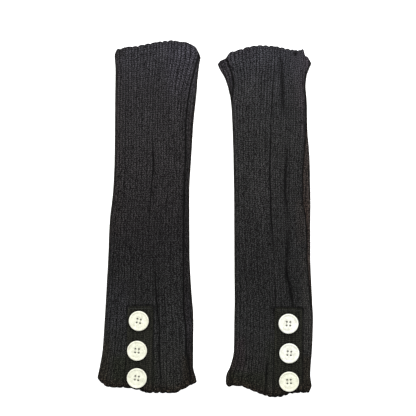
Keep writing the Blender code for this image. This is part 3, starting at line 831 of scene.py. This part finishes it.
def button_tab(name, leg, material):
    """A ribbed strip of cloth with rounded edges, pressed in a little round each button."""
    inner = [(wale + place) / TAB_WALES for wale in range(TAB_WALES) for place in SHOWN_COLUMNS]
    edge = [share / TAB_WALES for share in TAB_EDGE_COLUMNS]
    columns = np.unique(np.round([*edge, *inner[1:], *[1.0 - share for share in reversed(edge)]], 5))
    ends = np.array([0.0, 0.002, 0.006])
    body = np.arange(2, 2 * TAB_COURSES - 1) / (2.0 * TAB_COURSES)
    rows = np.array([*ends, *body, *(1.0 - ends[::-1])])
    across, up = np.meshgrid(columns, rows, indexing="ij")
    x, y = tab_place(leg, across, up)
    low = tab_underside(leg, x, y)
    stitch_gap = np.mod(np.round(up * 2.0 * TAB_COURSES), 2.0) * (up > 0.01) * (up < 0.99)
    on_wale = np.mod(across * TAB_WALES, 1.0)
    crest, valley = wale_section(across * TAB_WALES)
    relief = TAB_GROOVE * (1.0 - crest) + TAB_GAP * stitch_gap * crest
    relief = relief + TAB_VALLEY * valley * crest
    buttons = [np.hypot(x - centre_x, y - centre_y) for _, centre_x, centre_y, _, _ in leg["buttons"]]
    from_button = np.minimum.reduce(buttons)
    ring = contact(from_button - BUTTON_RADIUS)
    relief = relief + TAB_SINK * ring
    from_side = np.minimum(across, 1.0 - across)
    lean = (np.abs(on_wale - 0.5) - 0.25) * TAB_CHEVRON
    lean = lean * smoothstep(0.0, 0.04, up) * smoothstep(0.0, 0.04, 1.0 - up)
    lean = lean * smoothstep(0.0, 0.6, from_side * TAB_WALES)
    thick = TAB_HEIGHT - relief
    height = tab_length(leg)
    from_edge = np.minimum(from_side * leg["tab"]["width"], np.minimum(up, 1.0 - up) * height)
    round_edge = side_share(from_edge + 0.03, TAB_EDGE)
    middle = low + 0.5 * TAB_HEIGHT
    top_z = middle + (low + thick - middle) * round_edge
    low_z = middle + (low - middle) * round_edge
    # Painted shade in a ring round each button and at the tab's rounded edges
    marks = {
        "painted_shade_and_light": 0.25 * ring,
        "crease": 0.0 * x,
        "strip": 0.0 * x,
        "side": 0.5 * (1.0 - round_edge),
        "edge": 0.2 * fading(TAB_EDGE, from_edge),
        "hem": fading(HEM_SHADE, up * height),
        "painted_hem_shade": fading(HEM_LINE, up * height),
        "tint": tint_and_painted_shade((), x, y),
    }
    skins = []
    for skin, z in (("top", top_z), ("under", low_z)):
        points = np.stack([x, y + lean, z], axis=-1) * MM
        skins.append(cloth_grid(f"{name}_tab_{skin}", points, marks, columns * TAB_WALES, rows * TAB_COURSES))
    mesh = back_to_back(*skins)
    bmesh.ops.bridge_loops(mesh, edges=[edge for edge in mesh.edges if edge.is_boundary])
    return finished(f"{name}_tab_knit", mesh, material)


def tab_top_under(leg, x, y):
    """Highest point of the tab under a button."""
    around = np.linspace(0.0, 2.0 * math.pi, 24, endpoint=False)
    radius = np.array((0.0, BUTTON_RADIUS / 2.0, BUTTON_RADIUS))[:, None]
    heights = tab_underside(leg, x + radius * np.cos(around), y + radius * np.sin(around))
    return heights.max() + TAB_HEIGHT


def turned(profile, steps, matrix):
    """A solid turned from a section that starts and ends on its axis."""
    mesh = bmesh.new()
    points = [mesh.verts.new((radius * MM, 0.0, height * MM)) for radius, height in profile]
    edges = [mesh.edges.new(pair) for pair in zip(points, points[1:])]
    axis = {"cent": (0.0, 0.0, 0.0), "axis": (0.0, 0.0, 1.0)}
    bmesh.ops.spin(mesh, geom=points + edges, **axis, angle=2.0 * math.pi, steps=steps, use_merge=True)
    bmesh.ops.remove_doubles(mesh, verts=mesh.verts, dist=MERGE * MM)
    bmesh.ops.recalc_face_normals(mesh, faces=mesh.faces)
    bmesh.ops.transform(mesh, matrix=matrix, verts=mesh.verts)
    return mesh


def gathered(parts):
    """Several small meshes made one."""
    whole = bmesh.new()
    scratch = bpy.data.meshes.new("scratch")
    for part in parts:
        part.to_mesh(scratch)
        part.free()
        whole.from_mesh(scratch)
    bpy.data.meshes.remove(scratch)
    return whole


def button_matrix(leg, x, y, turn):
    """Place and turn of a button that lies just clear of its tab."""
    height = tab_top_under(leg, x, y) + GAP
    place = Matrix.Translation((x * MM, y * MM, height * MM))
    return place @ Matrix.Rotation(math.radians(turn), 4, "Z")


def sewn_button(name, place, material):
    """A turned button with a raised rim, a dished face and four holes with rounded edges."""
    face, rim = material
    mesh = turned(BUTTON_PROFILE, BUTTON_STEPS, Matrix())
    # Faces of the rim take a lighter copy of the plastic: painted light on the raised rim
    for part in mesh.faces:
        part.material_index = int(part.calc_center_median().xy.length > RIM_INSIDE * MM)
    bmesh.ops.transform(mesh, matrix=place, verts=mesh.verts)
    button = finished(name, mesh, face, sharp=50.0)
    button.data.materials.append(rim)
    offsets = (-HOLE_OFFSET * MM, HOLE_OFFSET * MM)
    spots = [place @ Matrix.Translation((across, up, 0.0)) for across in offsets for up in offsets]
    holes = gathered([turned(HOLE_PROFILE, HOLE_STEPS, spot) for spot in spots])
    cutter = placed(f"{name}_cutter", saved(f"{name}_holes", holes))
    cut = button.modifiers.new("Holes", "BOOLEAN")
    cut.operation = "DIFFERENCE"
    cut.solver = "EXACT"
    cut.object = cutter
    made = bpy.context.evaluated_depsgraph_get()
    drilled = bpy.data.meshes.new_from_object(button.evaluated_get(made))
    button.modifiers.clear()
    button.data = drilled
    bpy.data.objects.remove(cutter)
    return button


def strand(name, points, radius):
    """A round thread along a line of points."""
    line = bpy.data.curves.new(name, "CURVE")
    line.dimensions = "3D"
    line.bevel_depth = radius * MM
    line.bevel_resolution = 2
    line.use_fill_caps = True
    spline = line.splines.new("POLY")
    spline.points.add(len(points) - 1)
    for point, place in zip(spline.points, points):
        point.co = (*place, 1.0)
    holder = bpy.data.objects.new(name, line)
    mesh = bmesh.new()
    mesh.from_mesh(bpy.data.meshes.new_from_object(holder))
    bpy.data.objects.remove(holder)
    return mesh


def button_thread(name, place, material):
    """Two pairs of thread strands, each out of one hole and down into the next."""
    parts = []
    for side in (-HOLE_OFFSET, HOLE_OFFSET):
        for beside in (-THREAD_RADIUS * 1.05, THREAD_RADIUS * 1.05):
            line = [(-HOLE_OFFSET, THREAD_END)]
            for step in range(THREAD_STEPS + 1):
                share = step / THREAD_STEPS
                lift = BUTTON_FACE + THREAD_RADIUS + THREAD_ARCH * math.sin(math.pi * share) ** 0.8
                line.append(((2.0 * share - 1.0) * HOLE_OFFSET, lift))
            line.append((HOLE_OFFSET, THREAD_END))
            points = [place @ Vector(((side + beside) * MM, run * MM, lift * MM)) for run, lift in line]
            parts.append(strand(f"{name}_strand", points, THREAD_RADIUS))
    return finished(name, gathered(parts), material)


def tab_seam(name, leg, material):
    """A row of stitches a little below the tab's top edge."""
    width = leg["tab"]["width"]
    inset = SEAM_INSET / width
    up = 1.0 - SEAM_INSET / tab_length(leg)
    parts = []
    count = round(width * (1.0 - 2.0 * inset) / SEAM_STITCH)
    for step in range(count):
        across = inset + (1.0 - 2.0 * inset) * (step + 0.5) / count
        x, y = tab_place(leg, np.array(across), np.array(up))
        z = tab_underside(leg, x, y) + TAB_HEIGHT - SEAM_SINK
        mesh = bmesh.new()
        bmesh.ops.create_uvsphere(mesh, u_segments=10, v_segments=6, radius=1.0)
        size = (SEAM_HALF_STITCH * MM, SEAM_THREAD_RADIUS * MM, SEAM_THREAD_RADIUS * MM)
        bmesh.ops.scale(mesh, vec=size, verts=mesh.verts)
        bmesh.ops.translate(mesh, vec=(float(x) * MM, float(y) * MM, float(z) * MM), verts=mesh.verts)
        parts.append(mesh)
    return finished(name, gathered(parts), material)


def arithmetic(operation, turned_round=False):
    """A method that adds a math node for two values, the other one first where it is turned round."""
    def work(value, other):
        pair = (other, value) if turned_round else (value, other)
        return value.wiring.math(operation, *pair)

    return work


class Value:
    """What a shader node gives out. A sum with it adds the nodes that work the sum out."""

    def __init__(self, wiring, socket):
        self.wiring = wiring
        self.socket = socket

    __add__ = arithmetic("ADD")
    __radd__ = arithmetic("ADD", turned_round=True)
    __sub__ = arithmetic("SUBTRACT")
    __rsub__ = arithmetic("SUBTRACT", turned_round=True)
    __mul__ = arithmetic("MULTIPLY")
    __pow__ = arithmetic("POWER")


class Wiring:
    """Adds nodes to a material or a group and joins them."""

    def __init__(self, tree):
        self.tree = tree

    def feed(self, socket, value):
        if isinstance(value, Value):
            self.tree.links.new(value.socket, socket)
        else:
            socket.default_value = value

    def add(self, kind, values=(), **settings):
        """A new node. The values go to its first sockets in turn, or to those that they name."""
        node = self.tree.nodes.new(kind)
        for key, value in settings.items():
            setattr(node, key, value)
        named = values if isinstance(values, dict) else dict(enumerate(values))
        for key, value in named.items():
            self.feed(node.inputs[key], value)
        return node

    def get(self, kind, values=(), output=0, **settings):
        """One output of a new node."""
        return Value(self, self.add(kind, values, **settings).outputs[output])

    def split(self, vector):
        node = self.add("ShaderNodeSeparateXYZ", (vector,))
        return [Value(self, output) for output in node.outputs]

    def combine(self, *values):
        return self.get("ShaderNodeCombineXYZ", values)

    def math(self, operation, *values, clamp=False):
        return self.get("ShaderNodeMath", values, operation=operation, use_clamp=clamp)

    def mix(self, share, first, second):
        values = {"Factor": share, "A": first, "B": second}
        return self.get("ShaderNodeMix", values, "Result", data_type="RGBA")

    def remap(self, value, low, high, new_low, new_high):
        return self.get("ShaderNodeMapRange", (value, low, high, new_low, new_high))

    def noise(self, vector, scale, detail=2.0, roughness=0.5):
        values = {"Vector": vector, "Scale": scale, "Detail": detail, "Roughness": roughness}
        return self.get("ShaderNodeTexNoise", values, "Fac")


def new_group(name, vectors, numbers, results):
    """A shader group with named sockets: its tree, its wiring, what it is given and what it has to fill."""
    tree = bpy.data.node_groups.new(name, "ShaderNodeTree")
    sockets = [(key, "INPUT", "NodeSocketVector") for key in vectors]
    sockets += [(key, "INPUT", "NodeSocketFloat") for key in numbers]
    sockets += [(key, "OUTPUT", "NodeSocketFloat") for key in results]
    for key, way, kind in sockets:
        tree.interface.new_socket(key, in_out=way, socket_type=kind)
    wiring = Wiring(tree)
    start = wiring.add("NodeGroupInput").outputs
    given = {key: Value(wiring, start[key]) for key in (*vectors, *numbers)}
    return tree, wiring, given, wiring.add("NodeGroupOutput").inputs


def stitch_group():
    """Rib knit drawn from its stitches: painted shade in its grooves, gaps and valleys, a V in each wale, and
    uneven yarn.
    """
    tree, wiring, given, out = new_group(
        "Rib stitches",
        vectors=("Stitch", "Place"),
        numbers=("Seed", "Pair groove", "Single groove", "Gap", "Valley", "Uneven", "Fuzz"),
        results=("Brightness", "Height", "Patch"),
    )
    wale, course, _ = wiring.split(given["Stitch"])

    def ridge(value, power):
        """1 where the value is a whole number, falling to 0 halfway between two."""
        centred = wiring.math("FRACT", value) * 2.0 - 1.0
        return wiring.math("ABSOLUTE", centred) ** power

    groove = ridge(wale, GROOVE_SHARPNESS)
    valley = wiring.math("SUBTRACT", ridge(wale * 2.0, 6.0), groove, clamp=True)
    gap = ridge(course + 0.5, 2.0)
    even = wiring.math("COMPARE", wiring.math("MODULO", wiring.math("ROUND", wale) + 64.0, 2.0), 0.0, 0.25)
    strength = given["Single groove"] + even * (given["Pair groove"] - given["Single groove"])
    ply = wiring.math("FLOOR", wale * PLIES)
    half_course = wiring.math("FLOOR", course * 2.0)

    def chance(across, along_wale):
        """A number from -0.5 to 0.5, most often a small one, for a ply of a stitch or a neighbour."""
        cell = {"Vector": wiring.combine(ply + across, half_course + along_wale, given["Seed"])}
        even_chance = wiring.get("ShaderNodeTexWhiteNoise", cell, "Value", noise_dimensions="3D") - 0.5
        return even_chance * (wiring.math("ABSOLUTE", even_chance) * 2.0)

    along_rib = wiring.noise(wiring.combine(ply * 3.7, course * 0.06, given["Seed"]), 1.0, 1.0)
    fibre = wiring.noise(given["Place"], FIBRE_SCALE, 2.0, 0.6)

    # Painted shade in the grooves between wales, in the gaps between courses and down each wale's middle
    shade = (1.0 - groove * strength) * (1.0 - gap * given["Gap"]) * (1.0 - valley * given["Valley"])
    # A light stitch has darker neighbours, so that the unevenness stays fine and the ribs stay clear
    beside = (chance(-1.0, 0.0) + chance(1.0, 0.0)) * BESIDE_SHARE
    above = (chance(0.0, -1.0) + chance(0.0, 1.0)) * ABOVE_SHARE
    change = (chance(0.0, 0.0) - (beside + above)) * given["Uneven"]
    change = change + ((fibre - 0.5) * given["Fuzz"] + (along_rib - 0.5) * RIB_CHANGE)
    change = wiring.math("MAXIMUM", change + 1.0, DARKEST_STITCH)
    change = wiring.math("MINIMUM", change, LIGHTEST_STITCH)
    twist = wale * 5.0 + course * 3.0
    strand_height = wiring.math("SINE", twist * (2.0 * math.pi)) * 0.2
    wiring.feed(out["Brightness"], shade * change)
    wiring.feed(out["Height"], fibre + strand_height - gap * 0.8 - valley * 0.4)
    wiring.feed(out["Patch"], wiring.noise(given["Place"], CLOUD_SCALE, 1.0, 0.5))
    return tree


def new_material(name):
    """A material, its wiring, the sockets of its shader and the places that it reads."""
    material = bpy.data.materials.new(name)
    material.use_nodes = True
    wiring = Wiring(material.node_tree)
    shader = material.node_tree.nodes["Principled BSDF"].inputs
    return material, wiring, shader, wiring.get("ShaderNodeTexCoord", output="Object")


def fill_shader(wiring, shader, values, height, strength, depth):
    """Feeds a shader its values and the bump of a height, which is so many millimetres deep."""
    bump = {"Strength": strength, "Distance": depth * MM, "Height": height}
    for key, value in {**values, "Normal": wiring.get("ShaderNodeBump", bump, "Normal")}.items():
        wiring.feed(shader[key], value)


def knit_material(name, stitches, look):
    """Soft matte rib knit, with painted shade in its grooves, folds and creases, at its turned sides and along
    its edges, and warmer at its sides and hem.
    """
    material, wiring, shader, place = new_material(name)
    marks = {
        mark: wiring.get("ShaderNodeAttribute", output="Fac", attribute_name=mark)
        for mark in ("painted_shade_and_light", "crease", "strip", "side", "edge", "hem", "painted_hem_shade")
    }
    tint = wiring.get("ShaderNodeAttribute", output="Vector", attribute_name="tint")
    length = wiring.remap(wiring.split(place)[1], -TONE_END, TONE_END, 0.0, 1.0)
    given = {key: look[key] for key in ("Seed", "Gap", "Valley", "Fuzz")}
    for key in ("Pair groove", "Single groove", "Uneven"):
        given[key] = wiring.remap(length, *TOP_CHANGE, *look[key])
    given["Uneven"] = given["Uneven"] * wiring.remap(length, *HEM_CHANGE)
    given["Stitch"] = wiring.get("ShaderNodeUVMap", output="UV", uv_map="Knit")
    given["Place"] = place
    knit = wiring.add("ShaderNodeGroup", given, node_tree=stitches)
    brightness, height, patch = (Value(wiring, output) for output in knit.outputs)
    tone = wiring.add("ShaderNodeValToRGB", (length,))
    tones = tone.color_ramp.elements
    while len(tones) < len(look["tones"]):
        tones.new(0.5)
    for element, (share, colour) in zip(tones, look["tones"]):
        element.position = share
        element.color = (*colour, 1.0)
    cloud = wiring.remap(patch, 0.4, 0.65, 0.0, 1.0) * 0.2
    yarn = wiring.mix(cloud, Value(wiring, tone.outputs["Color"]), (*look["patch"], 1.0))
    yarn = wiring.mix(marks["strip"], yarn, (*look["strip"], 1.0))
    yarn = wiring.get("ShaderNodeVectorMath", (yarn, tint), operation="MULTIPLY")
    warm_share = wiring.math("ADD", marks["side"] * 0.85, marks["hem"], clamp=True)
    yarn = wiring.mix(warm_share, yarn, (*look["warm"], 1.0))
    # Worn yarn ends at the hem: dark gaps and a few rust-coloured fibres
    worn = wiring.noise(place, WORN_SCALE, 2.0, 0.6)
    rust = wiring.remap(worn, 0.54, 0.68, 0.0, 0.6) * marks["hem"]
    ragged = wiring.remap(worn, 0.36, 0.6, -0.95, 0.45) * marks["hem"]
    yarn = wiring.mix(rust, yarn, (*RUST, 1.0))
    shade = brightness * (1.0 + ragged)
    # Each mark takes away its share of the colour as painted shade
    for mark, loss in MARK_LOSSES:
        shade = shade * wiring.math("MAXIMUM", 1.0 - marks[mark] * loss, DARKEST_MARK)
    values = {
        "Base Color": wiring.get("ShaderNodeVectorMath", {0: yarn, "Scale": shade}, operation="SCALE"),
        "Roughness": 0.95,
        "Specular IOR Level": 0.06,
        "Sheen Weight": 0.02,
        "Sheen Roughness": 0.6,
    }
    fill_shader(wiring, shader, values, height, strength=0.7, depth=0.3)
    return material


def button_material(name, colour, mottle):
    """Cream moulded plastic with a faintly mottled face and a satin polish."""
    material, wiring, shader, place = new_material(name)
    fine, coarse = PLASTIC_SCALES
    grain = wiring.noise(place, fine, 3.0, 0.6)
    share = wiring.remap(grain + wiring.noise(place, coarse, 2.0, 0.5), 0.75, 1.25, 0.0, 1.0)
    values = {
        "Base Color": wiring.mix(share, (*mottle, 1.0), (*colour, 1.0)),
        "Roughness": wiring.remap(grain, 0.3, 0.7, 0.32, 0.48),
    }
    fill_shader(wiring, shader, values, grain, strength=0.35, depth=0.12)
    return material


def thread_material(name, colour, dark):
    """Twisted sewing thread."""
    material, wiring, shader, place = new_material(name)
    fibre = wiring.noise(place, THREAD_SCALE, 3.0, 0.6)
    share = wiring.remap(fibre, 0.35, 0.65, 0.0, 1.0)
    values = {"Base Color": wiring.mix(share, (*dark, 1.0), (*colour, 1.0)), "Roughness": 0.7}
    fill_shader(wiring, shader, values, fibre, strength=0.5, depth=0.1)
    return material


def dress_stage():
    """A plain pale floor, soft studio light and the camera straight above."""
    scene = bpy.context.scene
    mesh = bmesh.new()
    bmesh.ops.create_grid(mesh, x_segments=2, y_segments=2, size=FLOOR_SIZE)
    data = saved("floor", mesh)
    pale, wiring, shader, place = new_material("pale_floor")
    shades = [(grey, grey, grey, 1.0) for grey in (0.93, 0.95)]
    wiring.feed(shader["Base Color"], wiring.mix(wiring.noise(place, 3.0), *shades))
    shader["Roughness"].default_value = 0.9
    shader["Emission Color"].default_value = (1.0, 1.0, 1.0, 1.0)
    shader["Emission Strength"].default_value = FLOOR_GLOW
    data.materials.append(pale)
    placed("floor", data, (0.0, 0.0, -FLOOR_DROP * MM))

    world = bpy.data.worlds.new("soft_room")
    scene.world = world
    world.use_nodes = True
    background = world.node_tree.nodes["Background"].inputs
    background["Color"].default_value = (1.0, 1.0, 1.0, 1.0)
    background["Strength"].default_value = 1.0

    softbox = bpy.data.lights.new("softbox", "AREA")
    softbox.shape = "SQUARE"
    softbox.size = LAMP_SIZE
    softbox.energy = LAMP_POWER
    lamp = placed("softbox", softbox, LAMP_PLACE)
    lamp.rotation_euler = (-lamp.location).to_track_quat("-Z", "Y").to_euler()

    lens = bpy.data.cameras.new("camera")
    lens.lens = LENS
    lens.sensor_width = SENSOR
    lens.clip_start = 0.1
    lens.clip_end = 40.0
    distance = VIEW_WIDTH * MM * LENS / SENSOR
    scene.camera = placed("camera", lens, (VIEW_CENTRE[0] * MM, VIEW_CENTRE[1] * MM, distance))
    scene.view_settings.view_transform = "Standard"
    scene.view_settings.look = "None"


def main():
    stitches = stitch_group()
    plastics = {}
    for shade, looks in PLASTICS.items():
        named = zip(("face", "rim"), looks)
        plastics[shade] = [button_material(f"{shade}_button_{part}", *look) for part, look in named]
    cream_thread = thread_material("cream_thread", *CREAM_THREAD)
    black_thread = thread_material("black_thread", *BLACK_THREAD)
    for name, leg in (("left", LEFT_LEG), ("right", RIGHT_LEG)):
        knit = knit_material(f"{name}_rib_knit", stitches, leg["knit"])
        tab_knit = knit_material(f"{name}_tab_knit", stitches, leg["tab_knit"])
        tube = knitted_leg(name, leg, knit)
        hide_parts(f"{name}_leg")
        tab = button_tab(name, leg, tab_knit)
        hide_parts(f"{name}_tab")
        seam = tab_seam(f"{name}_tab_stitches", leg, black_thread)
        for height, x, y, turn, plastic in leg["buttons"]:
            place = button_matrix(leg, x, y, turn)
            button = sewn_button(f"{name}_{height}_button", place, plastics[plastic])
            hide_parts(f"{name}_button_{height}")
            thread = button_thread(f"{name}_{height}_thread", place, cream_thread)
    dress_stage()


main()
